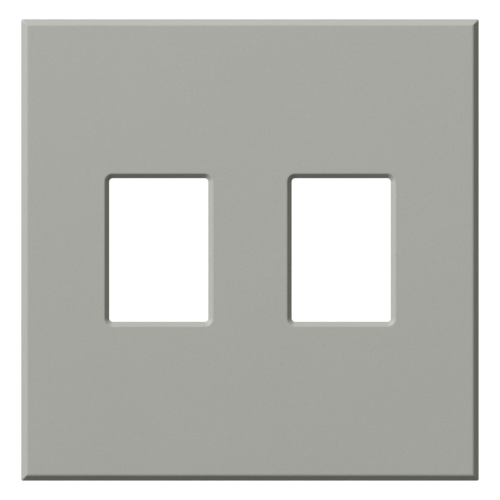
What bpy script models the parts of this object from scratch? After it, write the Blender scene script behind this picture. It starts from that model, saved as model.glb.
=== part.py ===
"""Two-gang screwless wall plate: a faceplate held by four spring catches on a screwed-on adapter.

Metres, +Z up, and the plate faces -Y. The origin is the centre of the adapter's back face, which lies
against the metal yokes of the two switches. The wall is the plane of the faceplate's rim, a little behind.
"""

import math

import bmesh
import bpy
from mathutils import Matrix, Vector

MM = 0.001
GAP = 0.4 * MM  # between pieces that touch or nearly touch
THROUGH = 2.0 * MM  # how far a cutter stands out of what it cuts
SINK = 0.5 * MM  # how far a joined shape is sunk into the one it stands on

# Faceplate
PLATE_WIDTH = 115.4 * MM
PLATE_HEIGHT = 116.4 * MM
PLATE_DEPTH = 7.6 * MM
FACE_THICKNESS = 2.0 * MM
SKIRT_THICKNESS = 1.8 * MM
EDGE_CHAMFER = 1.4 * MM
CORNER_RADIUS = 0.45 * MM
CAVITY_CORNER_RADIUS = 1.0 * MM
GANG_PITCH = 46.04 * MM  # 1 13/16 in, the pitch of ganged switch boxes
WINDOW_WIDTH = 25.0 * MM
WINDOW_HEIGHT = 36.2 * MM
WINDOW_RADIUS = 0.65 * MM
WINDOW_CHAMFER = 1.15 * MM
WINDOW_FRAME = 2.0 * MM  # width of the thicker frame moulded round each window, on the back
WINDOW_FRAME_DEPTH = 1.4 * MM
PEG_RADIUS = 1.5 * MM
PEG_X = 44.0 * MM
PEG_Z = 47.0 * MM
BACK_RIB_Z = 40.0 * MM
BACK_RIB_HEIGHT = 0.8 * MM
BACK_RIB_THICKNESS = 1.0 * MM
PRY_SLOT_WIDTH = 9.0 * MM
PRY_SLOT_DEPTH = 1.4 * MM

# Adapter
RIM_BEHIND_YOKE = 1.3 * MM  # the yoke's thickness: the rim reaches past it to the wall
ADAPTER_THICKNESS = 1.6 * MM
ADAPTER_CLEARANCE = 0.6 * MM  # between its edge and the skirt
ADAPTER_CORNER_RADIUS = 2.0 * MM
ADAPTER_WINDOW_WIDTH = 31.0 * MM
ADAPTER_WINDOW_HEIGHT = 42.2 * MM
WALL_HEIGHT = 1.2 * MM  # of the stiffening walls and ribs on the adapter's front
WALL_THICKNESS = 1.2 * MM
WALL_INSET = 0.3 * MM
RIB_Z = 34.0 * MM
PEG_BOSS_RADIUS = 3.1 * MM

# Screws that hold the adapter to the yokes: No. 6-32, 5/16 in long
SCREW_SPACING_Z = 96.84 * MM  # 3 13/16 in, the yoke's tapped holes
SCREW_RADIUS = 1.7 * MM
SCREW_LENGTH = 7.94 * MM
SCREW_HEAD_RADIUS = 3.45 * MM
SCREW_HEAD_HEIGHT = 1.9 * MM
HEAD_ROUNDING = 0.7 * MM
RECESS_LENGTH = 3.8 * MM
RECESS_WIDTH = 0.9 * MM
RECESS_DEPTH = 1.2 * MM
SLOT_HEIGHT = 4.0 * MM
SLOT_WIDTH = 5.6 * MM
SLOT_END_RADIUS = 1.95 * MM
DISH_RADIUS = 4.2 * MM
DISH_DEPTH = 0.6 * MM

# Spring catches: steel strips on edge, whose hooked tails sit in slotted posts of the adapter
CATCH_THICKNESS = 0.5 * MM
CATCH_WIDTH = 3.4 * MM
CATCH_Y = -2.1 * MM
CATCH_PIVOT_X = 53.6 * MM
CATCH_PIVOT_Z = 10.0 * MM
CATCH_HOOK_X = 51.9 * MM
CATCH_HOOK_Z = 6.4 * MM
CATCH_BEND_RADIUS = 0.6 * MM
CATCH_CREST_X = 55.0 * MM
CATCH_CREST_Z = 30.0 * MM
CREST_HALF_LENGTH = 2.5 * MM
CATCH_TIP_X = 53.9 * MM
CATCH_TIP_Z = 36.5 * MM
DIMPLE_FOOT_RADIUS = 1.6 * MM
DIMPLE_TOP_RADIUS = 0.7 * MM
DIMPLE_BITE = 0.5 * MM  # how far it enters the skirt
DETENT_RADIUS = 1.6 * MM
POST_HEIGHT = 2.3 * MM  # above the adapter's front
POST_INNER_X = 50.6 * MM
POST_LOW_Z = 4.4 * MM
NOTCH_INNER_X = 51.0 * MM
NOTCH_LOW_Z = 12.5 * MM
NOTCH_HIGH_Z = 38.5 * MM

# Planes and half sizes that follow from these
RIM_Y = RIM_BEHIND_YOKE
FACE_Y = RIM_Y - PLATE_DEPTH
FACE_BACK_Y = FACE_Y + FACE_THICKNESS
ADAPTER_FRONT_Y = -ADAPTER_THICKNESS
WALL_TOP_Y = ADAPTER_FRONT_Y - WALL_HEIGHT
POST_TOP_Y = ADAPTER_FRONT_Y - POST_HEIGHT
DISH_Y = ADAPTER_FRONT_Y + DISH_DEPTH
HEAD_SEAT_Y = DISH_Y - GAP
SKIRT_INSIDE_X = PLATE_WIDTH / 2 - SKIRT_THICKNESS
SKIRT_INSIDE_Z = PLATE_HEIGHT / 2 - SKIRT_THICKNESS
ADAPTER_EDGE_X = SKIRT_INSIDE_X - ADAPTER_CLEARANCE
ADAPTER_EDGE_Z = SKIRT_INSIDE_Z - ADAPTER_CLEARANCE
GANG_X = (-GANG_PITCH / 2, GANG_PITCH / 2)
SCREW_Z = SCREW_SPACING_Z / 2
CORNERS = {
    "upper_left": (-1, 1),
    "upper_right": (1, 1),
    "lower_left": (-1, -1),
    "lower_right": (1, -1),
}


def clear_scene():
    for old in list(bpy.data.objects):
        bpy.data.objects.remove(old)


def new_collection(name):
    made = bpy.data.collections.new(name)
    bpy.context.scene.collection.children.link(made)
    return made


def new_material(name, colour, roughness, metallic=0.0):
    made = bpy.data.materials.new(name)
    made.use_nodes = True
    shader = made.node_tree.nodes["Principled BSDF"]
    shader.inputs["Base Color"].default_value = (*colour, 1.0)
    shader.inputs["Roughness"].default_value = roughness
    shader.inputs["Metallic"].default_value = metallic
    return made


def new_object(name, bm, collection, material=None):
    """An object whose mesh is the bmesh, with its normals facing out and its round sides smooth."""
    bmesh.ops.recalc_face_normals(bm, faces=bm.faces)
    mesh = bpy.data.meshes.new(name)
    bm.to_mesh(mesh)
    bm.free()
    mesh.shade_smooth()
    mesh.set_sharp_from_angle(angle=math.radians(35))
    if material:
        mesh.materials.append(material)
    made = bpy.data.objects.new(name, mesh)
    collection.objects.link(made)
    return made


def box(x_range, y_range, z_range):
    """A box between the given ends, which may come in either order."""
    low = Vector((min(x_range), min(y_range), min(z_range)))
    high = Vector((max(x_range), max(y_range), max(z_range)))
    bm = bmesh.new()
    bmesh.ops.create_cube(bm, size=1.0)
    bmesh.ops.scale(bm, vec=high - low, verts=bm.verts)
    bmesh.ops.translate(bm, vec=(low + high) / 2, verts=bm.verts)
    return bm


def edges_at_y(bm, y):
    """The edges that lie in the plane of that y."""
    return [edge for edge in bm.edges if all(abs(vert.co.y - y) < GAP / 100 for vert in edge.verts)]


def edges_along_y(bm):
    return [edge for edge in bm.edges if abs(edge.verts[0].co.y - edge.verts[1].co.y) > GAP / 100]


def bevel(bm, edges, width, segments=1):
    bmesh.ops.bevel(
        bm, geom=edges, offset=width, offset_type="OFFSET", segments=segments, profile=0.5, affect="EDGES"
    )


def slab(centre, width, height, y_range, corner_radius, corner_steps=4):
    """A rounded rectangle in the XZ plane, centred on (x, z), as thick as y_range."""
    x, z = centre
    bm = box((x - width / 2, x + width / 2), y_range, (z - height / 2, z + height / 2))
    bevel(bm, edges_along_y(bm), corner_radius, corner_steps)
    return bm


def ring(width, height, wall, y_range, corner_radius):
    """A rectangular wall, as a slab with its middle taken out."""
    bm = slab((0.0, 0.0), width, height, y_range, corner_radius)
    bm.normal_update()
    caps = [face for face in bm.faces if abs(face.normal.y) > 0.99]
    bmesh.ops.inset_region(bm, faces=caps, thickness=wall, use_even_offset=True)
    inner_edges = [edge for face in caps for edge in face.edges]
    bmesh.ops.delete(bm, geom=caps, context="FACES_ONLY")
    bmesh.ops.bridge_loops(bm, edges=inner_edges)
    return bm


def cone(centre, direction, foot_radius, top_radius, length, sides):
    """A round bar or a cone that starts at centre and points along the direction."""
    direction = Vector(direction)
    turn = direction.to_track_quat("Z", "Y").to_matrix().to_4x4()
    place = Matrix.Translation(Vector(centre) + direction * length / 2) @ turn
    bm = bmesh.new()
    bmesh.ops.create_cone(
        bm, cap_ends=True, segments=sides, radius1=foot_radius, radius2=top_radius, depth=length,
        matrix=place,
    )
    return bm


def rod(x, z, radius, y_range, sides=24):
    """A round bar along Y."""
    return cone((x, min(y_range), z), (0, 1, 0), radius, radius, max(y_range) - min(y_range), sides)


def combine(target, operation, shapes, cutters):
    """Adds a Boolean modifier to target for each shape, which is kept as a hidden helper object."""
    for number, shape in enumerate(shapes, start=len(target.modifiers)):
        helper = new_object(f"{target.name}_helper_{number:02d}", shape, cutters)
        helper.hide_render = True
        helper.display_type = "WIRE"
        modifier = target.modifiers.new(helper.name, "BOOLEAN")
        modifier.operation = operation
        modifier.object = helper


def faceplate_block():
    """The outer shape: chamfered round its face, with its four corners just rounded off."""
    bm = box(
        (-PLATE_WIDTH / 2, PLATE_WIDTH / 2), (FACE_Y, RIM_Y), (-PLATE_HEIGHT / 2, PLATE_HEIGHT / 2)
    )
    bevel(bm, edges_at_y(bm, FACE_Y), EDGE_CHAMFER)
    bevel(bm, edges_along_y(bm), CORNER_RADIUS, 2)
    return bm


def window_cutter(x):
    """The cutter for a window: a 45 degree chamfer that narrows from in front of the face to the throat."""
    lead = GAP / 4
    taper = WINDOW_CHAMFER + lead
    wide_y = (FACE_Y - THROUGH, FACE_Y - lead)
    bm = slab((x, 0.0), WINDOW_WIDTH + 2 * taper, WINDOW_HEIGHT + 2 * taper, wide_y, WINDOW_RADIUS + taper)
    bm.normal_update()
    end = next(face for face in bm.faces if face.normal.y > 0.99)
    bmesh.ops.inset_region(bm, faces=[end], thickness=taper, depth=taper, use_even_offset=True)
    throat_end = bmesh.ops.extrude_discrete_faces(bm, faces=[end])["faces"][0]
    length = RIM_Y + THROUGH - (FACE_Y + WINDOW_CHAMFER)
    bmesh.ops.translate(bm, vec=(0.0, length, 0.0), verts=throat_end.verts)
    return bm


def faceplate_back_shapes():
    """What is moulded on the back of the face: window frames, locating pegs and two ribs."""
    frame_y = (FACE_BACK_Y - SINK, FACE_BACK_Y + WINDOW_FRAME_DEPTH)
    frame_width = WINDOW_WIDTH + 2 * WINDOW_FRAME
    frame_height = WINDOW_HEIGHT + 2 * WINDOW_FRAME
    shapes = [
        slab((x, 0.0), frame_width, frame_height, frame_y, WINDOW_RADIUS + WINDOW_FRAME) for x in GANG_X
    ]
    for side_x, side_z in CORNERS.values():
        shapes.append(rod(side_x * PEG_X, side_z * PEG_Z, PEG_RADIUS, (FACE_BACK_Y - SINK, -GAP)))
    rib_x = SKIRT_INSIDE_X + SINK
    rib_y = (FACE_BACK_Y - SINK, FACE_BACK_Y + BACK_RIB_HEIGHT)
    for side_z in (-1, 1):
        middle = side_z * BACK_RIB_Z
        rib_z = (middle - BACK_RIB_THICKNESS / 2, middle + BACK_RIB_THICKNESS / 2)
        shapes.append(box((-rib_x, rib_x), rib_y, rib_z))
    return shapes


def detent(side_x, side_z):
    """The cutter for the round pocket in the skirt that a catch's dimple drops into."""
    start = (side_x * (SKIRT_INSIDE_X - THROUGH), CATCH_Y, side_z * CATCH_CREST_Z)
    length = THROUGH + DIMPLE_BITE + GAP
    return cone(start, (side_x, 0, 0), DETENT_RADIUS, DETENT_RADIUS, length, 20)


def make_faceplate(collection, cutters, material):
    plate = new_object("faceplate", faceplate_block(), collection, material)
    hollow = slab(
        (0.0, 0.0), 2 * SKIRT_INSIDE_X, 2 * SKIRT_INSIDE_Z, (FACE_BACK_Y, RIM_Y + THROUGH),
        CAVITY_CORNER_RADIUS,
    )
    combine(plate, "DIFFERENCE", [hollow], cutters)
    combine(plate, "UNION", faceplate_back_shapes(), cutters)
    cuts = [window_cutter(x) for x in GANG_X]
    cuts += [detent(side_x, side_z) for side_x, side_z in CORNERS.values()]
    pry_x = (-PRY_SLOT_WIDTH / 2, PRY_SLOT_WIDTH / 2)
    pry_y = (RIM_Y - PRY_SLOT_DEPTH, RIM_Y + THROUGH)
    pry_z = (-PLATE_HEIGHT / 2 - THROUGH, -SKIRT_INSIDE_Z + THROUGH)
    cuts.append(box(pry_x, pry_y, pry_z))
    combine(plate, "DIFFERENCE", cuts, cutters)
    return plate


def adapter_raised_shapes():
    """What stands on the adapter's front: its walls, ribs, peg bosses and catch posts."""
    wall_y = (ADAPTER_FRONT_Y + SINK, WALL_TOP_Y)
    edge = WALL_INSET + WALL_THICKNESS / 2
    shapes = [
        ring(
            2 * (ADAPTER_EDGE_X - WALL_INSET), 2 * (ADAPTER_EDGE_Z - WALL_INSET), WALL_THICKNESS,
            wall_y, ADAPTER_CORNER_RADIUS - WALL_INSET,
        )
    ]
    for x in GANG_X:
        width = ADAPTER_WINDOW_WIDTH + 2 * WALL_THICKNESS
        height = ADAPTER_WINDOW_HEIGHT + 2 * WALL_THICKNESS
        shapes.append(slab((x, 0.0), width, height, wall_y, WALL_THICKNESS))
    rib_x = ADAPTER_EDGE_X - edge
    for side_z in (-1, 1):
        rib_z = (side_z * RIB_Z - WALL_THICKNESS / 2, side_z * RIB_Z + WALL_THICKNESS / 2)
        shapes.append(box((-rib_x, rib_x), wall_y, rib_z))
    post_y = (ADAPTER_FRONT_Y + SINK, POST_TOP_Y)
    for side_x, side_z in CORNERS.values():
        shapes.append(rod(side_x * PEG_X, side_z * PEG_Z, PEG_BOSS_RADIUS, wall_y))
        post_x = (side_x * POST_INNER_X, side_x * (ADAPTER_EDGE_X - WALL_INSET / 2))
        post_z = (side_z * POST_LOW_Z, side_z * (NOTCH_LOW_Z + SINK))
        shapes.append(box(post_x, post_y, post_z))
    return shapes


def adapter_cuts(side_x, side_z):
    """The cutters for one corner of the adapter: screw slot, dish, peg socket, notch and catch slot."""
    screw_x = side_x * GANG_PITCH / 2
    screw_z = side_z * SCREW_Z
    all_y = (POST_TOP_Y - THROUGH, THROUGH)
    dish_y = (POST_TOP_Y - THROUGH, DISH_Y)
    slot_half = CATCH_THICKNESS / 2 + GAP
    arm_x = (side_x * (CATCH_PIVOT_X - slot_half), side_x * (CATCH_PIVOT_X + slot_half))
    arm_z = (side_z * (CATCH_HOOK_Z - slot_half), side_z * (NOTCH_LOW_Z + THROUGH))
    hook_x = (side_x * (CATCH_HOOK_X - GAP), side_x * CATCH_PIVOT_X)
    hook_z = (side_z * (CATCH_HOOK_Z - slot_half), side_z * (CATCH_HOOK_Z + slot_half))
    notch_x = (side_x * NOTCH_INNER_X, side_x * (ADAPTER_EDGE_X + THROUGH))
    notch_z = (side_z * NOTCH_LOW_Z, side_z * NOTCH_HIGH_Z)
    return [
        slab((screw_x, screw_z), SLOT_WIDTH, SLOT_HEIGHT, all_y, SLOT_END_RADIUS, 6),
        rod(screw_x, screw_z, DISH_RADIUS, dish_y, 32),
        rod(side_x * PEG_X, side_z * PEG_Z, PEG_RADIUS + GAP, all_y),
        box(notch_x, all_y, notch_z),
        box(arm_x, all_y, arm_z),
        box(hook_x, all_y, hook_z),
    ]


def make_adapter(collection, cutters, material):
    base = slab(
        (0.0, 0.0), 2 * ADAPTER_EDGE_X, 2 * ADAPTER_EDGE_Z, (ADAPTER_FRONT_Y, 0.0), ADAPTER_CORNER_RADIUS
    )
    adapter = new_object("adapter_plate", base, collection, material)
    combine(adapter, "UNION", adapter_raised_shapes(), cutters)
    through_y = (POST_TOP_Y - THROUGH, THROUGH)
    windows = [
        slab((x, 0.0), ADAPTER_WINDOW_WIDTH, ADAPTER_WINDOW_HEIGHT, through_y, WALL_THICKNESS)
        for x in GANG_X
    ]
    combine(adapter, "DIFFERENCE", windows, cutters)
    for side_x, side_z in CORNERS.values():
        combine(adapter, "DIFFERENCE", adapter_cuts(side_x, side_z), cutters)
    return adapter


def screw_profile():
    """Half of the screw's outline, as (radius, height), from the top of the head to the tip."""
    points = [(0.0, SCREW_HEAD_HEIGHT)]
    for step in range(5):
        angle = math.radians(90 - 22.5 * step)
        radius = SCREW_HEAD_RADIUS - HEAD_ROUNDING + HEAD_ROUNDING * math.cos(angle)
        height = SCREW_HEAD_HEIGHT - HEAD_ROUNDING + HEAD_ROUNDING * math.sin(angle)
        points.append((radius, height))
    points.append((SCREW_HEAD_RADIUS, 0.0))
    points.append((SCREW_RADIUS, 0.0))
    points.append((SCREW_RADIUS, -SCREW_LENGTH + SCREW_RADIUS / 3))
    points.append((SCREW_RADIUS * 2 / 3, -SCREW_LENGTH))
    points.append((0.0, -SCREW_LENGTH))
    return points


def make_screw(position, collection, cutters, material):
    """A pan head screw along Y, turned from its profile, with a cross recess in its head."""
    side_x, side_z = CORNERS[position]
    profile = bmesh.new()
    verts = [profile.verts.new((radius, 0.0, height)) for radius, height in screw_profile()]
    for first, second in zip(verts, verts[1:]):
        profile.edges.new((first, second))
    screw = new_object(f"adapter_screw_{position}", profile, collection, material)
    screw.location = (side_x * GANG_PITCH / 2, HEAD_SEAT_Y, side_z * SCREW_Z)
    screw.rotation_euler = (math.pi / 2, 0.0, 0.0)
    turn = screw.modifiers.new("turn", "SCREW")
    turn.steps = 24
    turn.render_steps = 24
    turn.use_merge_vertices = True
    turn.merge_threshold = GAP / 100
    turn.use_smooth_shade = True
    floor_y = HEAD_SEAT_Y - SCREW_HEAD_HEIGHT + RECESS_DEPTH
    recess_y = (floor_y, floor_y - RECESS_DEPTH - THROUGH)
    x, z = screw.location.x, screw.location.z
    long, short = RECESS_LENGTH / 2, RECESS_WIDTH / 2
    arms = [
        box((x - long, x + long), recess_y, (z - short, z + short)),
        box((x - short, x + short), recess_y, (z - long, z + long)),
    ]
    combine(screw, "DIFFERENCE", arms, cutters)
    return screw


def catch_path():
    """The strip's middle line in the upper right corner, as (x, z), from its hook to its tip."""
    points = [(CATCH_HOOK_X, CATCH_HOOK_Z)]
    for step in range(4):
        angle = math.radians(-90 + 30 * step)
        x = CATCH_PIVOT_X - CATCH_BEND_RADIUS + CATCH_BEND_RADIUS * math.cos(angle)
        z = CATCH_HOOK_Z + CATCH_BEND_RADIUS + CATCH_BEND_RADIUS * math.sin(angle)
        points.append((x, z))
    points.append((CATCH_PIVOT_X, CATCH_PIVOT_Z))
    points.append((CATCH_PIVOT_X, NOTCH_LOW_Z))
    points.append((CATCH_CREST_X, CATCH_CREST_Z - CREST_HALF_LENGTH))
    points.append((CATCH_CREST_X, CATCH_CREST_Z + CREST_HALF_LENGTH))
    points.append((CATCH_TIP_X, CATCH_TIP_Z))
    return points


def make_catch(position, collection, cutters, material):
    """A strip of spring steel on edge, with a dimple that drops into the skirt. Its origin is its pivot."""
    side_x, side_z = CORNERS[position]
    pivot = Vector((side_x * CATCH_PIVOT_X, CATCH_Y, side_z * CATCH_PIVOT_Z))
    strip = bmesh.new()
    low_edge = [
        strip.verts.new(Vector((side_x * x, CATCH_Y - CATCH_WIDTH / 2, side_z * z)) - pivot)
        for x, z in catch_path()
    ]
    edges = [strip.edges.new(pair) for pair in zip(low_edge, low_edge[1:])]
    swept = bmesh.ops.extrude_edge_only(strip, edges=edges)["geom"]
    far_edge = [item for item in swept if isinstance(item, bmesh.types.BMVert)]
    bmesh.ops.translate(strip, vec=(0.0, CATCH_WIDTH, 0.0), verts=far_edge)
    catch = new_object(f"catch_spring_{position}", strip, collection, material)
    catch.location = pivot
    shell = catch.modifiers.new("thickness", "SOLIDIFY")
    shell.thickness = CATCH_THICKNESS
    shell.offset = 0.0
    shell.use_even_offset = True
    foot = (side_x * CATCH_CREST_X, CATCH_Y, side_z * CATCH_CREST_Z)
    height = SKIRT_INSIDE_X + DIMPLE_BITE - CATCH_CREST_X
    dimple = cone(foot, (side_x, 0, 0), DIMPLE_FOOT_RADIUS, DIMPLE_TOP_RADIUS, height, 20)
    combine(catch, "UNION", [dimple], cutters)
    return catch


def main():
    clear_scene()
    parts = new_collection("wall_plate_two_gang")
    cutters = new_collection("cutters")
    grey_plastic = new_material("matte_grey_plastic", (0.386, 0.391, 0.364), 0.55)
    dark_plastic = new_material("adapter_plastic", (0.10, 0.10, 0.105), 0.5)
    zinc_steel = new_material("zinc_plated_steel", (0.62, 0.62, 0.60), 0.32, 1.0)
    spring_steel = new_material("spring_steel", (0.50, 0.50, 0.49), 0.28, 1.0)
    make_faceplate(parts, cutters, grey_plastic)
    make_adapter(parts, cutters, dark_plastic)
    for position in CORNERS:
        make_screw(position, parts, cutters, zinc_steel)
        make_catch(position, parts, cutters, spring_steel)


main()
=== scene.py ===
"""The looks of a two-gang screwless wall plate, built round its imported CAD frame.

Metres, +Z up, and the plate faces -Y. Each CAD node is replaced by a finer piece in the same place.
"""

import math

import bmesh
import bpy
from mathutils import Matrix, Vector


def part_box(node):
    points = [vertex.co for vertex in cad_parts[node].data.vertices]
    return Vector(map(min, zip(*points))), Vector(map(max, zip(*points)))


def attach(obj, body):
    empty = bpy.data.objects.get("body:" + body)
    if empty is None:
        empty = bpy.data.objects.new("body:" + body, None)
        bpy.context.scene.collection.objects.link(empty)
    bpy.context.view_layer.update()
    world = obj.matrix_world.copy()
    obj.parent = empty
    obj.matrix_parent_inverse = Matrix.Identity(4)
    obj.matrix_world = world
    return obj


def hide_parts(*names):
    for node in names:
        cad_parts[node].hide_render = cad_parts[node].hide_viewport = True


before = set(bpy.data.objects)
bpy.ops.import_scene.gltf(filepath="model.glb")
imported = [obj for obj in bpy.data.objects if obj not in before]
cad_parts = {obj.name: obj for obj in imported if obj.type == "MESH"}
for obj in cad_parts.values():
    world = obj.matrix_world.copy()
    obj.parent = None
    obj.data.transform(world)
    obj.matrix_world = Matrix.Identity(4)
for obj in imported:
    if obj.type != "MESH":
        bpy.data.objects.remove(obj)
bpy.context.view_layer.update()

MM = 0.001
CORNERS = {
    "upper_left": (-1, 1),
    "upper_right": (1, 1),
    "lower_left": (-1, -1),
    "lower_right": (1, -1),
}

# From the frame
PLATE_LOW, PLATE_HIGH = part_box("faceplate")
ADAPTER_LOW, ADAPTER_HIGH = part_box("adapter_plate")
SCREW_LOW, SCREW_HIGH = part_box("adapter_screw_upper_right")
CATCH_LOW, CATCH_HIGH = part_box("catch_spring_upper_right")
FACE_Y = PLATE_LOW.y
RIM_Y = PLATE_HIGH.y
PLATE_HALF_WIDTH = PLATE_HIGH.x
PLATE_HALF_HEIGHT = PLATE_HIGH.z
SCREW_X = (SCREW_LOW.x + SCREW_HIGH.x) / 2
SCREW_Z = (SCREW_LOW.z + SCREW_HIGH.z) / 2
GANG_X = (-SCREW_X, SCREW_X)

# Shared by several pieces
CORNER_STEPS = 8
FILLET_STEPS = 5
FILLET_ROOM = 1.2  # how far in an end face's edge lies, in radii of the fillet round it
ROUND_SIDES = 48
THROUGH = 2.0 * MM  # how far a cutter stands out of what it cuts
SINK = 0.4 * MM  # how far a joined shape is sunk into the one it stands on
TINY = 0.001 * MM  # points closer than this are one
EJECTOR_DEPTH = 0.12 * MM
SHARP_ANGLE = math.radians(28)

# Faceplate
FACE_THICKNESS = 2.0 * MM
SKIRT_THICKNESS = 1.8 * MM
SKIRT_DRAFT = 0.15 * MM
EDGE_CHAMFER = 1.4 * MM
EDGE_CORNER = 0.45 * MM
FACE_CORNER = 0.12 * MM  # where the mitre of two chamfers meets the face
CAVITY_CORNER = 1.0 * MM
WINDOW_HALF_WIDTH = 12.5 * MM
WINDOW_HALF_HEIGHT = 18.1 * MM
WINDOW_CORNER = 0.9 * MM
WINDOW_CHAMFER = 1.15 * MM
WINDOW_FRAME = 2.0 * MM
FRAME_END_Y = FACE_Y + FACE_THICKNESS + 1.4 * MM
BACK_Y = FACE_Y + FACE_THICKNESS
PEG_X = 44.0 * MM
PEG_Z = 47.0 * MM
PEG_RADIUS = 1.5 * MM
PEG_TAPER = 0.96  # its end's radius as a share of its foot's
PEG_END_Y = -0.4 * MM
BACK_RIB_Z = 40.0 * MM
BACK_RIB_HEIGHT = 0.8 * MM
BACK_RIB_THICKNESS = 1.0 * MM
PLATE_EJECTOR_RADIUS = 2.0 * MM
PLATE_EJECTOR_X = (-46.5 * MM, 0.0, 46.5 * MM)
PLATE_EJECTOR_Z = (-51.5 * MM, -27.0 * MM, 27.0 * MM, 51.5 * MM)
PRY_SLOT_WIDTH = 9.0 * MM
PRY_SLOT_DEPTH = 1.4 * MM

# Adapter
ADAPTER_FRONT_Y = -1.6 * MM
ADAPTER_CORNER = 2.0 * MM
ADAPTER_WINDOW_HALF_WIDTH = 15.5 * MM
ADAPTER_WINDOW_HALF_HEIGHT = 21.1 * MM
WALL_TOP_Y = -2.8 * MM
WALL_THICKNESS = 1.2 * MM
WALL_INSET = 0.3 * MM
WALL_FILLET = 0.25 * MM
ADAPTER_FILLET = 0.3 * MM
RIB_Z = 34.0 * MM
PEG_BOSS_RADIUS = 3.1 * MM
PEG_HOLE_RADIUS = 1.9 * MM
SLOT_HALF_WIDTH = 2.8 * MM
SLOT_HALF_HEIGHT = 2.0 * MM
DISH_RADIUS = 4.2 * MM
DISH_Y = -1.0 * MM
POST_INNER_X = 50.6 * MM
POST_LOW_Z = 4.4 * MM
NOTCH_INNER_X = 51.0 * MM
NOTCH_LOW_Z = 12.5 * MM
NOTCH_HIGH_Z = 38.5 * MM
CATCH_SLOT_HALF = 0.65 * MM
ADAPTER_EJECTOR_RADIUS = 1.8 * MM
ADAPTER_EJECTOR_X = (-30.0 * MM, 0.0, 30.0 * MM)
ADAPTER_EJECTOR_Z = (-42.0 * MM, -28.0 * MM, 28.0 * MM, 42.0 * MM)

# Screws: No. 6-32
HEAD_RADIUS = (SCREW_HIGH.x - SCREW_LOW.x) / 2
HEAD_HEIGHT = 1.9 * MM
THREAD_CREST = 1.72 * MM
THREAD_ROOT = 1.3 * MM
THREAD_PITCH = 25.4 * MM / 32
THREAD_RUN_OUT = 0.5 * MM
THREAD_START = 0.4 * MM  # from the head's seat
TIP_LENGTH = 0.5 * MM
RECESS_DEPTH = 1.35 * MM
RECESS_HALF_LENGTH = 1.95 * MM
RECESS_HALF_WIDTH = 0.46 * MM

# Catches
CATCH_THICKNESS = 0.45 * MM
CATCH_WIDTH = CATCH_HIGH.y - CATCH_LOW.y
CATCH_Y = (CATCH_HIGH.y + CATCH_LOW.y) / 2
CATCH_X = 53.6 * MM
HOOK_X = 51.9 * MM
HOOK_Z = 6.4 * MM
CREST_X = 55.0 * MM
CREST_Z = 30.0 * MM
CREST_HALF_LENGTH = 2.5 * MM
TIP_X = 53.9 * MM
TIP_Z = 36.5 * MM
TIP_ROUNDING_LENGTH = 1.2 * MM
TIP_ROUNDING_WIDTH = 0.9 * MM
CATCH_SPACING = 0.3 * MM
CATCH_COLUMNS = 15
DIMPLE_RADIUS = 1.4 * MM
DETENT_RADIUS = 1.6 * MM
DETENT_DEPTH = 0.9 * MM
DETENT_TAPER = 0.7  # its floor's radius as a share of its mouth's

# Stage
FLOOR_Z = -0.14
FLOOR_SIZE = 3.0


# ---------------------------------------------------------------- shapes


def filleted(points, radii):
    """The polyline with an arc of the given radius at each inner corner, and no arc where that is 0."""
    points = [Vector(point) for point in points]
    smooth = [points[0]]
    for before, corner, after, radius in zip(points, points[1:], points[2:], radii):
        if radius == 0:
            smooth.append(corner)
            continue
        to_before = (before - corner).normalized()
        to_after = (after - corner).normalized()
        half_angle = to_before.angle(to_after) / 2
        reach = radius / math.tan(half_angle)
        centre = corner + (to_before + to_after).normalized() * (radius / math.sin(half_angle))
        start = corner + to_before * reach - centre
        end = corner + to_after * reach - centre
        sweep = start.angle(end)
        for step in range(FILLET_STEPS + 1):
            share = step / FILLET_STEPS
            ahead = math.sin(share * sweep) / math.sin(sweep)
            behind = math.sin((1 - share) * sweep) / math.sin(sweep)
            smooth.append(centre + start * behind + end * ahead)
    smooth.append(points[-1])
    return smooth


def outline(centre, half_width, half_height, corner, y):
    """A rounded rectangle round (x, z) in the plane of y, anticlockwise as seen from the front."""
    points = []
    for quarter, (side_x, side_z) in enumerate(((1, 1), (-1, 1), (-1, -1), (1, -1))):
        for step in range(CORNER_STEPS + 1):
            angle = math.pi / 2 * (quarter + step / CORNER_STEPS)
            x = centre[0] + side_x * (half_width - corner) + corner * math.cos(angle)
            z = centre[1] + side_z * (half_height - corner) + corner * math.sin(angle)
            points.append(Vector((x, y, z)))
    return points


def skin(bm, outlines):
    """Joins closed outlines of equally many points, one after the other. Returns their vertices."""
    rings = [[bm.verts.new(point) for point in points] for points in outlines]
    for first, second in zip(rings, rings[1:]):
        for here in range(len(first)):
            there = (here + 1) % len(first)
            bm.faces.new((first[here], first[there], second[there], second[here]))
    return rings


def ring_edges(bm, ring):
    """The edges round a closed ring of vertices."""
    return [bm.edges.get((vert, ring[number - 1])) for number, vert in enumerate(ring)]


def loft(centre, half_width, half_height, corner, profile):
    """A closed solid whose rounded-rectangle sections have the insets and y of the profile."""
    bm = bmesh.new()
    sections = [
        outline(centre, half_width - inset, half_height - inset, max(corner - inset, 0.05 * MM), y)
        for inset, y in profile
    ]
    rings = skin(bm, sections)
    bm.faces.new(rings[0])
    bm.faces.new(rings[-1])
    return bm


def block(centre, half_width, half_height, y_range, corner, front_edge=0.0, back_edge=0.0):
    """A rounded rectangular solid, with the given fillets round its front and back."""
    front, back = min(y_range), max(y_range)
    points = [(0.0, front), (0.0, back)]
    radii = []
    if front_edge:
        points.insert(0, (front_edge * FILLET_ROOM, front))
        radii.append(front_edge)
    if back_edge:
        points.append((back_edge * FILLET_ROOM, back))
        radii.append(back_edge)
    return loft(centre, half_width, half_height, corner, filleted(points, radii))


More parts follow.
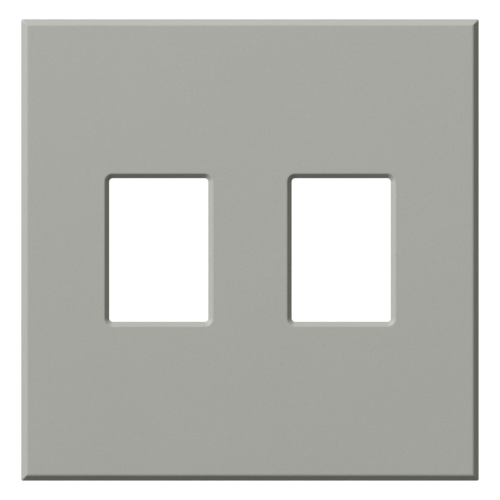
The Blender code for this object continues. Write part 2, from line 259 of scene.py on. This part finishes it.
def bar(x_range, y_range, z_range, corner=0.15 * MM, front_edge=0.0, back_edge=0.0):
    """A block between the given ends, which may come in either order."""
    centre = (sum(x_range) / 2, sum(z_range) / 2)
    half_width = abs(x_range[1] - x_range[0]) / 2
    half_height = abs(z_range[1] - z_range[0]) / 2
    return block(centre, half_width, half_height, y_range, corner, front_edge, back_edge)


def turned(profile, start, direction):
    """A solid turned about an axis from a profile of (radius, distance along the axis)."""
    turn = Vector(direction).to_track_quat("Z", "Y")
    sections = []
    for radius, along in profile:
        section = []
        for side in range(ROUND_SIDES):
            angle = 2 * math.pi * side / ROUND_SIDES
            across = Vector((radius * math.cos(angle), radius * math.sin(angle), along))
            section.append(Vector(start) + turn @ across)
        sections.append(section)
    bm = bmesh.new()
    skin(bm, sections)
    bmesh.ops.remove_doubles(bm, verts=bm.verts, dist=TINY)
    return bm


def rod(x, z, radius, y_range, edge=0.0):
    """A round bar along Y, with a fillet of the given radius round its front end."""
    front, back = min(y_range), max(y_range)
    length = back - front
    points = [(0.0, length), (radius, length), (radius, 0.0), (0.0, 0.0)]
    return turned(filleted(points, [0.0, edge]), (x, front, z), (0, 1, 0))


# ---------------------------------------------------------------- objects


def new_object(name, bm):
    """An object in the scene made from the bmesh, with its faces pointing out."""
    bmesh.ops.recalc_face_normals(bm, faces=bm.faces)
    mesh = bpy.data.meshes.new(name)
    bm.to_mesh(mesh)
    bm.free()
    made = bpy.data.objects.new(name, mesh)
    bpy.context.scene.collection.objects.link(made)
    return made


def apply_modifiers(target):
    """Gives the object the mesh that its modifiers make, without the slivers that Booleans leave."""
    bpy.context.view_layer.update()
    seen = target.evaluated_get(bpy.context.evaluated_depsgraph_get())
    mesh = bpy.data.meshes.new_from_object(seen)
    target.modifiers.clear()
    bm = bmesh.new()
    bm.from_mesh(mesh)
    bmesh.ops.remove_doubles(bm, verts=bm.verts, dist=TINY)
    bmesh.ops.dissolve_degenerate(bm, edges=bm.edges, dist=TINY)
    bm.to_mesh(mesh)
    bm.free()
    target.data = mesh


def combine(target, steps):
    """Adds to the object (UNION) or cuts from it (DIFFERENCE) each shape of the list, in order."""
    helpers = []
    for operation, shape in steps:
        helper = new_object("helper", shape)
        helpers.append(helper)
        modifier = target.modifiers.new("combine", "BOOLEAN")
        modifier.operation = operation
        modifier.object = helper
    apply_modifiers(target)
    for helper in helpers:
        bpy.data.objects.remove(helper)


def finish_surface(piece):
    """Shades the curved faces smooth and keeps the flat ones flat up to their fillets."""
    piece.data.shade_smooth()
    piece.data.set_sharp_from_angle(angle=SHARP_ANGLE)
    weighted = piece.modifiers.new("weighted_normals", "WEIGHTED_NORMAL")
    weighted.keep_sharp = True
    weighted.weight = 100


def place(piece, body, node, material):
    """Makes a finished piece stand for its CAD node."""
    piece.data.materials.clear()
    piece.data.materials.append(material)
    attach(piece, body)
    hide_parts(node)


# ---------------------------------------------------------------- faceplate


def edge_profile():
    """(inset, y, corner radius) from the face round the outer edge and the rim to the back of the face."""
    skirt_foot = SKIRT_THICKNESS + SKIRT_DRAFT
    return filleted(
        [
            (EDGE_CHAMFER + 0.6 * MM, FACE_Y, FACE_CORNER),  # the flat face's edge
            (EDGE_CHAMFER, FACE_Y, FACE_CORNER),
            (0.0, FACE_Y + EDGE_CHAMFER, EDGE_CORNER),
            (0.0, RIM_Y, EDGE_CORNER),
            (SKIRT_THICKNESS, RIM_Y, CAVITY_CORNER),
            (skirt_foot, BACK_Y, CAVITY_CORNER),
            (skirt_foot + 1.5 * MM, BACK_Y, CAVITY_CORNER),  # the flat back's edge
        ],
        [0.9 * MM, 0.3 * MM, 0.15 * MM, 0.15 * MM, 0.5 * MM],
    )


def window_profile():
    """(outset, y) from the face through a window and round the frame behind it to the back of the face."""
    return filleted(
        [
            (WINDOW_CHAMFER + 0.5 * MM, FACE_Y),  # the flat face's edge
            (WINDOW_CHAMFER, FACE_Y),
            (0.0, FACE_Y + WINDOW_CHAMFER),
            (0.0, FRAME_END_Y),
            (WINDOW_FRAME - 0.05 * MM, FRAME_END_Y),
            (WINDOW_FRAME, BACK_Y),
            (WINDOW_FRAME + 1.0 * MM, BACK_Y),  # the flat back's edge
        ],
        [0.5 * MM, 0.2 * MM, 0.12 * MM, 0.2 * MM, 0.4 * MM],
    )


def faceplate_shell():
    """The moulded shell as one skin: its edge, skirt and windows are swept profiles round flat faces."""
    bm = bmesh.new()
    sections = [
        outline((0, 0), PLATE_HALF_WIDTH - inset, PLATE_HALF_HEIGHT - inset, corner, y)
        for inset, y, corner in edge_profile()
    ]
    families = [skin(bm, sections)]
    for x in GANG_X:
        sections = [
            outline(
                (x, 0), WINDOW_HALF_WIDTH + outset, WINDOW_HALF_HEIGHT + outset,
                WINDOW_CORNER + outset, y,
            )
            for outset, y in window_profile()
        ]
        families.append(skin(bm, sections))
    for end in (0, -1):
        edges = [edge for rings in families for edge in ring_edges(bm, rings[end])]
        bmesh.ops.triangle_fill(bm, use_beauty=True, edges=edges, normal=(0, -1, 0))
    return bm


def faceplate_details():
    """What stands on the shell's back or is cut into it: pegs, ribs, ejector marks, detents, pry slot."""
    overhang = 1.0 * MM  # how far a detent's cutter stands out of the skirt
    steps = []
    for side_z in (-1, 1):
        z_range = (
            side_z * BACK_RIB_Z - BACK_RIB_THICKNESS / 2,
            side_z * BACK_RIB_Z + BACK_RIB_THICKNESS / 2,
        )
        half = PLATE_HALF_WIDTH - SKIRT_THICKNESS + SINK
        y_range = (BACK_Y - SINK, BACK_Y + BACK_RIB_HEIGHT)
        steps.append(("UNION", bar((-half, half), y_range, z_range, back_edge=0.2 * MM)))
    for side_x, side_z in CORNERS.values():
        length = PEG_END_Y - BACK_Y + SINK
        profile = filleted(
            [(0, 0), (PEG_RADIUS, 0), (PEG_RADIUS * PEG_TAPER, length), (0, length)], [0.0, 0.5 * MM]
        )
        start = (side_x * PEG_X, BACK_Y - SINK, side_z * PEG_Z)
        steps.append(("UNION", turned(profile, start, (0, 1, 0))))
        reach = DETENT_DEPTH + overhang
        profile = filleted(
            [(0, 0), (DETENT_RADIUS, 0), (DETENT_RADIUS * DETENT_TAPER, reach), (0, reach)], [0.0, 0.4 * MM]
        )
        skirt_x = side_x * (PLATE_HALF_WIDTH - SKIRT_THICKNESS - overhang)
        start = (skirt_x, CATCH_Y, side_z * CREST_Z)
        steps.append(("DIFFERENCE", turned(profile, start, (side_x, 0, 0))))
    for x in PLATE_EJECTOR_X:
        for z in PLATE_EJECTOR_Z:
            mark = rod(x, z, PLATE_EJECTOR_RADIUS, (BACK_Y - EJECTOR_DEPTH, BACK_Y + THROUGH))
            steps.append(("DIFFERENCE", mark))
    pry_x = (-PRY_SLOT_WIDTH / 2, PRY_SLOT_WIDTH / 2)
    pry_y = (RIM_Y - PRY_SLOT_DEPTH, RIM_Y + THROUGH)
    pry_z = (-PLATE_HALF_HEIGHT - THROUGH, -PLATE_HALF_HEIGHT + SKIRT_THICKNESS + THROUGH)
    steps.append(("DIFFERENCE", bar(pry_x, pry_y, pry_z, front_edge=0.3 * MM)))
    return steps


def make_faceplate(material):
    plate = new_object("faceplate_shell", faceplate_shell())
    combine(plate, faceplate_details())
    finish_surface(plate)
    place(plate, "faceplate", "faceplate", material)


# ---------------------------------------------------------------- adapter


def adapter_raised_shapes():
    """The walls, window frames, ribs, peg bosses and catch posts on the adapter's front."""
    raised_y = (WALL_TOP_Y, ADAPTER_FRONT_Y + SINK)
    wall = (ADAPTER_HIGH.x - WALL_INSET, ADAPTER_HIGH.z - WALL_INSET)
    inner = (wall[0] - WALL_THICKNESS, wall[1] - WALL_THICKNESS)
    pocket_y = (WALL_TOP_Y - THROUGH, ADAPTER_FRONT_Y)
    steps = [
        ("UNION", block((0, 0), *wall, raised_y, ADAPTER_CORNER - WALL_INSET, front_edge=WALL_FILLET)),
        ("DIFFERENCE", block((0, 0), *inner, pocket_y, corner=0.6 * MM, back_edge=0.3 * MM)),
    ]
    for x in GANG_X:
        width = ADAPTER_WINDOW_HALF_WIDTH + WALL_THICKNESS
        height = ADAPTER_WINDOW_HALF_HEIGHT + WALL_THICKNESS
        frame_wall = block((x, 0), width, height, raised_y, WALL_THICKNESS, front_edge=WALL_FILLET)
        steps.append(("UNION", frame_wall))
    for side_z in (-1, 1):
        z_range = (side_z * RIB_Z - WALL_THICKNESS / 2, side_z * RIB_Z + WALL_THICKNESS / 2)
        half = inner[0] + WALL_THICKNESS / 2
        steps.append(("UNION", bar((-half, half), raised_y, z_range, front_edge=0.2 * MM)))
    for side_x, side_z in CORNERS.values():
        boss = rod(side_x * PEG_X, side_z * PEG_Z, PEG_BOSS_RADIUS, raised_y, edge=WALL_FILLET)
        steps.append(("UNION", boss))
        x_range = (side_x * POST_INNER_X, side_x * (ADAPTER_HIGH.x - WALL_INSET / 2))
        z_range = (side_z * POST_LOW_Z, side_z * (NOTCH_LOW_Z + SINK))
        y_range = (ADAPTER_LOW.y, ADAPTER_FRONT_Y + SINK)
        post = bar(x_range, y_range, z_range, corner=0.4 * MM, front_edge=0.3 * MM)
        steps.append(("UNION", post))
    return steps


def adapter_corner_cuts(side_x, side_z):
    """One corner's screw slot with its dish, peg socket, catch notch and hooked catch slot."""
    through_y = (ADAPTER_LOW.y - THROUGH, THROUGH)
    screw = (side_x * SCREW_X, side_z * SCREW_Z)
    end_radius = SLOT_HALF_HEIGHT - 0.02 * MM  # a hair under a half round end
    slot = block(screw, SLOT_HALF_WIDTH, SLOT_HALF_HEIGHT, through_y, end_radius)
    dish = rod(*screw, DISH_RADIUS, (ADAPTER_LOW.y - THROUGH, DISH_Y))
    socket = rod(side_x * PEG_X, side_z * PEG_Z, PEG_HOLE_RADIUS, through_y)
    notch = bar(
        (side_x * NOTCH_INNER_X, side_x * (ADAPTER_HIGH.x + THROUGH)), through_y,
        (side_z * NOTCH_LOW_Z, side_z * NOTCH_HIGH_Z), corner=0.5 * MM,
    )
    arm = bar(
        (side_x * (CATCH_X - CATCH_SLOT_HALF), side_x * (CATCH_X + CATCH_SLOT_HALF)), through_y,
        (side_z * (HOOK_Z - CATCH_SLOT_HALF), side_z * (NOTCH_LOW_Z + THROUGH)), corner=0.3 * MM,
    )
    hook = bar(
        (side_x * (HOOK_X - 0.4 * MM), side_x * CATCH_X), through_y,
        (side_z * (HOOK_Z - CATCH_SLOT_HALF), side_z * (HOOK_Z + CATCH_SLOT_HALF)), corner=0.3 * MM,
    )
    return [("DIFFERENCE", shape) for shape in (slot, dish, socket, notch, arm, hook)]


def adapter_window_cutter(x):
    """The shape that cuts a window through the adapter, with a small chamfer at its back edge."""
    chamfer = 0.4 * MM
    overrun = 0.2 * MM
    profile = [
        (0.0, ADAPTER_LOW.y - THROUGH),
        (0.0, -chamfer),
        (-chamfer - overrun, overrun),
    ]
    return loft((x, 0), ADAPTER_WINDOW_HALF_WIDTH, ADAPTER_WINDOW_HALF_HEIGHT, WALL_THICKNESS, profile)


def make_adapter(material):
    base = block(
        (0, 0), ADAPTER_HIGH.x, ADAPTER_HIGH.z, (ADAPTER_FRONT_Y, 0.0), ADAPTER_CORNER,
        front_edge=ADAPTER_FILLET, back_edge=ADAPTER_FILLET,
    )
    adapter = new_object("adapter_frame", base)
    steps = adapter_raised_shapes()
    steps += [("DIFFERENCE", adapter_window_cutter(x)) for x in GANG_X]
    for side_x, side_z in CORNERS.values():
        steps += adapter_corner_cuts(side_x, side_z)
    for x in ADAPTER_EJECTOR_X:
        for z in ADAPTER_EJECTOR_Z:
            mark = rod(x, z, ADAPTER_EJECTOR_RADIUS, (-EJECTOR_DEPTH, THROUGH))
            steps.append(("DIFFERENCE", mark))
    combine(adapter, steps)
    finish_surface(adapter)
    place(adapter, "adapter", "adapter_plate", material)


# ---------------------------------------------------------------- screws


def threaded_stretch(start, end):
    """The open skin of the threaded part of the shank, about +Z. The thread dies out at both ends."""
    # The ridge's section, as places in the pitch and shares of the thread's height
    ridge = ((-0.44, 0.0), (-0.07, 1.0), (0.07, 1.0), (0.44, 0.0))
    turns = math.ceil((end - start) / THREAD_PITCH) + 1
    bm = bmesh.new()
    columns = []
    for side in range(ROUND_SIDES + 1):
        angle = 2 * math.pi * side / ROUND_SIDES
        column = []
        for turn in range(-1, turns):
            for along, rise in ridge:
                height = start + (turn + along + side / ROUND_SIDES) * THREAD_PITCH
                height = min(max(height, start), end)
                fade = min(height - start, end - height, THREAD_RUN_OUT) / THREAD_RUN_OUT
                radius = THREAD_ROOT + (THREAD_CREST - THREAD_ROOT) * rise * fade
                column.append(bm.verts.new((radius * math.cos(angle), radius * math.sin(angle), height)))
        columns.append(column)
    for first, second in zip(columns, columns[1:]):
        for row in range(len(first) - 1):
            bm.faces.new((first[row], second[row], second[row + 1], first[row + 1]))
    return bm


def cross_recess():
    """The tapered cross cut in the head, about +Z and deepest at the head's middle."""
    top = HEAD_HEIGHT + 0.2 * MM
    # Heights, and the cross's length there as a share of its full length
    levels = [
        (top, 1.0),
        (HEAD_HEIGHT - 0.15 * MM, 0.95),
        (HEAD_HEIGHT - RECESS_DEPTH * 0.75, 0.62),
        (HEAD_HEIGHT - RECESS_DEPTH, 0.25),
    ]
    middle = RECESS_HALF_WIDTH
    end_half_width = middle * 0.8
    sections = []
    for height, share in levels:
        far = max(RECESS_HALF_LENGTH * share, middle * 1.1)
        section = []
        for quarter in range(4):
            turn = Matrix.Rotation(math.pi / 2 * quarter, 3, "Z")
            for x, y in ((far, -end_half_width), (far, end_half_width), (middle, middle)):
                section.append(turn @ Vector((x, y, height)))
        sections.append(section)
    bm = bmesh.new()
    rings = skin(bm, sections)
    bm.faces.new(rings[0])
    bm.faces.new(rings[-1])
    return bm


def make_screw_mesh():
    """A pan head machine screw about +Z, its head's seat at the origin and its shank downwards."""
    length = SCREW_HIGH.y - SCREW_LOW.y - HEAD_HEIGHT
    thread_bottom = TIP_LENGTH - length
    thread_top = -THREAD_START
    head = filleted(
        [
            (0.0, HEAD_HEIGHT), (HEAD_RADIUS * 0.55, HEAD_HEIGHT), (HEAD_RADIUS * 0.92, HEAD_HEIGHT * 0.72),
            (HEAD_RADIUS, HEAD_HEIGHT * 0.35), (HEAD_RADIUS, 0.0), (THREAD_ROOT, 0.0),
            (THREAD_ROOT, thread_top),
        ],
        [1.5 * MM, 0.5 * MM, 0.3 * MM, 0.12 * MM, 0.1 * MM],
    )
    tip = [(THREAD_ROOT, thread_bottom), (THREAD_ROOT * 0.75, -length), (0.0, -length)]
    shank = threaded_stretch(thread_bottom, thread_top)
    for profile in (head, tip):
        part = turned(profile, (0, 0, 0), (0, 0, 1))
        mesh = bpy.data.meshes.new("part")
        part.to_mesh(mesh)
        part.free()
        shank.from_mesh(mesh)
    bmesh.ops.remove_doubles(shank, verts=shank.verts, dist=TINY)
    screw = new_object("screw_core", shank)
    combine(screw, [("DIFFERENCE", cross_recess())])
    mesh = screw.data
    bpy.data.objects.remove(screw)
    return mesh


def make_screws(material):
    """Four copies of the screw, each driven home at its own angle."""
    mesh = make_screw_mesh()
    seat_y = SCREW_LOW.y + HEAD_HEIGHT
    stand = Matrix.Rotation(math.pi / 2, 4, "X")
    for number, (position, (side_x, side_z)) in enumerate(CORNERS.items()):
        screw = bpy.data.objects.new(f"screw_{position}_threaded", mesh.copy())
        bpy.context.scene.collection.objects.link(screw)
        spin = Matrix.Rotation(math.radians(17 + 61 * number), 4, "Z")
        seat = Matrix.Translation((side_x * SCREW_X, seat_y, side_z * SCREW_Z))
        screw.matrix_world = seat @ stand @ spin
        finish_surface(screw)
        place(screw, f"screw_{position}", f"adapter_screw_{position}", material)


# ---------------------------------------------------------------- catches


def catch_line():
    """Evenly spaced (x, z) points along the strip's middle, with its end, in the upper right corner."""
    bends = filleted(
        [
            (HOOK_X, HOOK_Z), (CATCH_X, HOOK_Z), (CATCH_X, NOTCH_LOW_Z),
            (CREST_X, CREST_Z - CREST_HALF_LENGTH), (CREST_X, CREST_Z + CREST_HALF_LENGTH), (TIP_X, TIP_Z),
        ],
        [0.6 * MM, 12.0 * MM, 10.0 * MM, 2.5 * MM],
    )
    line = [bends[0]]
    to_next = CATCH_SPACING
    for start, end in zip(bends, bends[1:]):
        length = (end - start).length
        while to_next <= length:
            line.append(start.lerp(end, to_next / length))
            to_next += CATCH_SPACING
        to_next -= length
    if (line[-1] - bends[-1]).length > CATCH_SPACING / 4:
        line.append(bends[-1])
    return line


def catch_surface(side_x, side_z):
    """The strip's middle surface: a ribbon with a rounded tip and a pressed, hollow dimple."""
    line = catch_line()
    apex_x = CATCH_HIGH.x - CATCH_THICKNESS / 2
    bm = bmesh.new()
    rows = []
    for number, point in enumerate(line):
        before = line[max(number - 1, 0)]
        after = line[min(number + 1, len(line) - 1)]
        along = (after - before).normalized()
        outward = Vector((along.y, -along.x))
        to_tip = (line[-1] - point).length
        half = CATCH_WIDTH / 2
        if to_tip < TIP_ROUNDING_LENGTH:
            into_tip = 1 - to_tip / TIP_ROUNDING_LENGTH
            half -= TIP_ROUNDING_WIDTH * (1 - math.sqrt(1 - into_tip ** 2))
        row = []
        for column in range(CATCH_COLUMNS):
            y = half * (2 * column / (CATCH_COLUMNS - 1) - 1)
            distance = math.hypot(point.y - CREST_Z, y) / DIMPLE_RADIUS
            swell = (1 - distance * distance) ** 2 if distance < 1 else 0.0
            x, z = point + outward * swell * (apex_x - CREST_X)
            row.append(bm.verts.new((side_x * x, CATCH_Y + y, side_z * z)))
        rows.append(row)
    for first, second in zip(rows, rows[1:]):
        for column in range(CATCH_COLUMNS - 1):
            bm.faces.new((first[column], first[column + 1], second[column + 1], second[column]))
    return bm


def make_catches(material):
    for position, (side_x, side_z) in CORNERS.items():
        catch = new_object(f"catch_{position}_strip", catch_surface(side_x, side_z))
        shell = catch.modifiers.new("thickness", "SOLIDIFY")
        shell.thickness = CATCH_THICKNESS
        shell.offset = 0.0
        shell.use_even_offset = True
        edges = catch.modifiers.new("edges", "BEVEL")
        edges.width = 0.07 * MM
        edges.segments = 2
        edges.limit_method = "ANGLE"
        edges.angle_limit = math.radians(60)
        apply_modifiers(catch)
        finish_surface(catch)
        place(catch, f"catch_{position}", f"catch_spring_{position}", material)


# ---------------------------------------------------------------- materials


class Nodes:
    """A material under construction: a Principled shader and short calls that add nodes before it."""

    def __init__(self, name):
        self.material = bpy.data.materials.new(name)
        self.material.use_nodes = True
        self.tree = self.material.node_tree
        self.shader = self.tree.nodes["Principled BSDF"]

    def link(self, source, target):
        self.tree.links.new(source, target)

    def coordinates(self, stretch=(1, 1, 1)):
        """Places on the object in metres, squeezed by the given factors."""
        place_node = self.tree.nodes.new("ShaderNodeTexCoord")
        mapping = self.tree.nodes.new("ShaderNodeMapping")
        mapping.inputs["Scale"].default_value = stretch
        self.link(place_node.outputs["Object"], mapping.inputs["Vector"])
        return mapping.outputs["Vector"]

    def noise(self, vector, size, detail=2.0, roughness=0.5):
        """Noise from 0 to 1 with features of the given size in metres."""
        node = self.tree.nodes.new("ShaderNodeTexNoise")
        node.inputs["Scale"].default_value = 1 / size
        node.inputs["Detail"].default_value = detail
        node.inputs["Roughness"].default_value = roughness
        self.link(vector, node.inputs["Vector"])
        return node.outputs["Fac"]

    def spread(self, value, low, high, start=0.3, end=0.7):
        """Maps the value from start..end to low..high, without going past them."""
        node = self.tree.nodes.new("ShaderNodeMapRange")
        node.inputs["From Min"].default_value = start
        node.inputs["From Max"].default_value = end
        node.inputs["To Min"].default_value = low
        node.inputs["To Max"].default_value = high
        self.link(value, node.inputs["Value"])
        return node.outputs["Result"]

    def arithmetic(self, operation, first, second):
        """A Math node's result from two sockets or numbers."""
        node = self.tree.nodes.new("ShaderNodeMath")
        node.operation = operation
        for socket, value in zip(node.inputs, (first, second)):
            if isinstance(value, float):
                socket.default_value = value
            else:
                self.link(value, socket)
        return node.outputs["Value"]

    def tint(self, factor, dark, light):
        """A colour between two others."""
        node = self.tree.nodes.new("ShaderNodeMix")
        node.data_type = "RGBA"
        node.inputs["A"].default_value = (*dark, 1.0)
        node.inputs["B"].default_value = (*light, 1.0)
        self.link(factor, node.inputs["Factor"])
        return node.outputs["Result"]

    def bump(self, height, depth):
        """Relief of the given depth in metres, which is not added on top of other relief."""
        node = self.tree.nodes.new("ShaderNodeBump")
        node.inputs["Strength"].default_value = 1.0
        node.inputs["Distance"].default_value = depth
        self.link(height, node.inputs["Height"])
        self.link(node.outputs["Normal"], self.shader.inputs["Normal"])


def shade(colour, share):
    """The colour with each channel multiplied by the share."""
    return tuple(channel * share for channel in colour)


def make_face_plastic():
    """Matte warm grey plastic with a fine, even spark-eroded mould texture and very slow colour drift."""
    nodes = Nodes("matte_grey_plastic")
    grey = (0.394, 0.398, 0.377)
    where = nodes.coordinates()
    slow = nodes.noise(where, 30 * MM, detail=1.0)
    grain = nodes.noise(where, 0.22 * MM, detail=3.0, roughness=0.6)
    specks = nodes.noise(where, 0.5 * MM, detail=1.0)
    mottling = nodes.arithmetic(
        "ADD", nodes.arithmetic("MULTIPLY", grain, 0.92), nodes.arithmetic("MULTIPLY", slow, 0.08)
    )
    nodes.link(
        nodes.tint(nodes.spread(mottling, 0.0, 1.0), shade(grey, 0.92), shade(grey, 1.08)),
        nodes.shader.inputs["Base Color"],
    )
    nodes.link(nodes.spread(specks, 0.52, 0.6), nodes.shader.inputs["Roughness"])
    nodes.shader.inputs["Specular IOR Level"].default_value = 0.4
    nodes.bump(grain, 0.012 * MM)
    return nodes.material


def make_adapter_plastic():
    """Dark moulded plastic with faint flow marks and a slightly glossy skin."""
    nodes = Nodes("adapter_plastic")
    dark = (0.052, 0.053, 0.056)
    flow = nodes.noise(nodes.coordinates((1, 1, 0.25)), 9 * MM, detail=3.0)
    grain = nodes.noise(nodes.coordinates(), 0.3 * MM, detail=3.0, roughness=0.6)
    nodes.link(
        nodes.tint(nodes.spread(flow, 0.0, 1.0), shade(dark, 0.88), shade(dark, 1.15)),
        nodes.shader.inputs["Base Color"],
    )
    nodes.link(nodes.spread(flow, 0.38, 0.5), nodes.shader.inputs["Roughness"])
    nodes.bump(grain, 0.008 * MM)
    return nodes.material


def make_zinc_plate():
    """Bright zinc plating over turned steel, a little cloudy."""
    nodes = Nodes("zinc_plated_steel")
    zinc = (0.64, 0.65, 0.66)
    cloud = nodes.noise(nodes.coordinates(), 1.5 * MM, detail=4.0)
    grain = nodes.noise(nodes.coordinates(), 0.12 * MM, detail=2.0)
    nodes.link(
        nodes.tint(nodes.spread(cloud, 0.0, 1.0), shade(zinc, 0.9), (0.70, 0.69, 0.65)),
        nodes.shader.inputs["Base Color"],
    )
    nodes.shader.inputs["Metallic"].default_value = 1.0
    nodes.link(nodes.spread(cloud, 0.24, 0.38), nodes.shader.inputs["Roughness"])
    nodes.bump(grain, 0.004 * MM)
    return nodes.material


def make_spring_steel():
    """Rolled spring strip: satin steel with a grain along its length."""
    nodes = Nodes("spring_steel")
    steel = (0.50, 0.50, 0.49)
    grain = nodes.noise(nodes.coordinates((1, 1, 0.04)), 0.1 * MM, detail=3.0, roughness=0.6)
    cloud = nodes.noise(nodes.coordinates(), 4 * MM, detail=2.0)
    nodes.link(
        nodes.tint(nodes.spread(cloud, 0.0, 1.0), shade(steel, 0.88), shade(steel, 1.1)),
        nodes.shader.inputs["Base Color"],
    )
    nodes.shader.inputs["Metallic"].default_value = 1.0
    nodes.link(nodes.spread(grain, 0.26, 0.42), nodes.shader.inputs["Roughness"])
    nodes.bump(grain, 0.003 * MM)
    return nodes.material


# ---------------------------------------------------------------- stage


def make_floor():
    """A plain pale floor well below the plate, which hangs free of it as it does on a wall. The floor is
    clear from below, so that it doesn't hide the plate there."""
    bpy.ops.mesh.primitive_plane_add(size=FLOOR_SIZE, location=(0, 0, FLOOR_Z))
    floor = bpy.context.object
    floor.name = "floor"
    pale = Nodes("pale_floor")
    pale.shader.inputs["Base Color"].default_value = (0.66, 0.66, 0.65, 1.0)
    pale.shader.inputs["Roughness"].default_value = 0.9
    surface = pale.tree.nodes.new("ShaderNodeNewGeometry")
    clear = pale.tree.nodes.new("ShaderNodeBsdfTransparent")
    mix = pale.tree.nodes.new("ShaderNodeMixShader")
    pale.link(surface.outputs["Backfacing"], mix.inputs["Fac"])
    pale.link(pale.shader.outputs["BSDF"], mix.inputs[1])
    pale.link(clear.outputs["BSDF"], mix.inputs[2])
    pale.link(mix.outputs["Shader"], pale.tree.nodes["Material Output"].inputs["Surface"])
    floor.data.materials.append(pale.material)
    floor.visible_diffuse = False


def make_world(below, above, behind):
    """White wherever the camera looks. The object itself is lit by a room before it, which is lighter above
    than below, and by an even, dim light from behind it."""
    world = bpy.data.worlds.new("studio")
    bpy.context.scene.world = world
    world.use_nodes = True
    nodes, links = world.node_tree.nodes, world.node_tree.links
    direction = nodes.new("ShaderNodeTexCoord")
    split = nodes.new("ShaderNodeSeparateXYZ")
    links.new(direction.outputs["Generated"], split.inputs["Vector"])

    def graded(axis, start, end, first, second):
        """A blend between two colours or sockets by how far the direction points along an axis."""
        ramp = nodes.new("ShaderNodeMapRange")
        ramp.interpolation_type = "SMOOTHSTEP"
        ramp.inputs["From Min"].default_value = start
        ramp.inputs["From Max"].default_value = end
        links.new(split.outputs[axis], ramp.inputs["Value"])
        blend = nodes.new("ShaderNodeMix")
        blend.data_type = "RGBA"
        links.new(ramp.outputs["Result"], blend.inputs["Factor"])
        for name, value in (("A", first), ("B", second)):
            if isinstance(value, tuple):
                blend.inputs[name].default_value = (*value, 1)
            else:
                links.new(value, blend.inputs[name])
        return blend.outputs["Result"]

    room = graded("Z", -0.8, 0.8, below, above)
    surroundings = nodes.new("ShaderNodeBackground")
    links.new(graded("Y", 0.0, 0.25, room, behind), surroundings.inputs["Color"])
    backdrop = nodes["Background"]
    backdrop.inputs["Color"].default_value = (1, 1, 1, 1)
    backdrop.inputs["Strength"].default_value = 1.05
    rays = nodes.new("ShaderNodeLightPath")
    mix = nodes.new("ShaderNodeMixShader")
    links.new(rays.outputs["Is Camera Ray"], mix.inputs["Fac"])
    links.new(surroundings.outputs["Background"], mix.inputs[1])
    links.new(backdrop.outputs["Background"], mix.inputs[2])
    links.new(mix.outputs["Shader"], nodes["World Output"].inputs["Surface"])


def make_softbox(name, direction, distance, size, power, facing):
    """A square area light in the given direction from the plate. The key light faces past the plate, so
    that its light falls off slowly across it."""
    light = bpy.data.lights.new(name, "AREA")
    light.size = size
    light.energy = power
    lamp = bpy.data.objects.new(name, light)
    bpy.context.scene.collection.objects.link(lamp)
    lamp.location = Vector(direction).normalized() * distance
    lamp.rotation_euler = (-Vector(facing)).to_track_quat("Z", "Y").to_euler()


def make_camera(distance, frame_width):
    """Dead straight on to the face, from far off. frame_width is what the picture shows across the face."""
    lens = bpy.data.cameras.new("camera")
    lens.sensor_width = 36.0
    lens.lens = lens.sensor_width * distance / frame_width
    lens.clip_end = 100.0
    camera = bpy.data.objects.new("camera", lens)
    bpy.context.scene.collection.objects.link(camera)
    camera.location = (0.0, FACE_Y - distance, 0.0)
    camera.rotation_euler = (math.pi / 2, 0.0, 0.0)
    bpy.context.scene.camera = camera


def make_stage():
    """The floor, the surroundings, two lamps and the camera, in plain tones with no film look."""
    bpy.context.scene.view_settings.view_transform = "Standard"
    make_floor()
    make_world(below=(0.101, 0.101, 0.089), above=(0.444, 0.444, 0.392), behind=(0.2, 0.2, 0.18))
    make_softbox(
        "key", direction=(-1.01, -1.0, 0.9), distance=3.0, size=0.5, power=201.0, facing=(1.5, 1.1, 1.0)
    )
    make_softbox(
        "rear_fill", direction=(0.5, 1.0, 0.6), distance=3.0, size=1.2, power=26.0, facing=(-0.5, -1.0, -0.6)
    )
    make_camera(distance=3.6, frame_width=126.07 * MM)


make_faceplate(make_face_plastic())
make_adapter(make_adapter_plastic())
make_screws(make_zinc_plate())
make_catches(make_spring_steel())
make_stage()
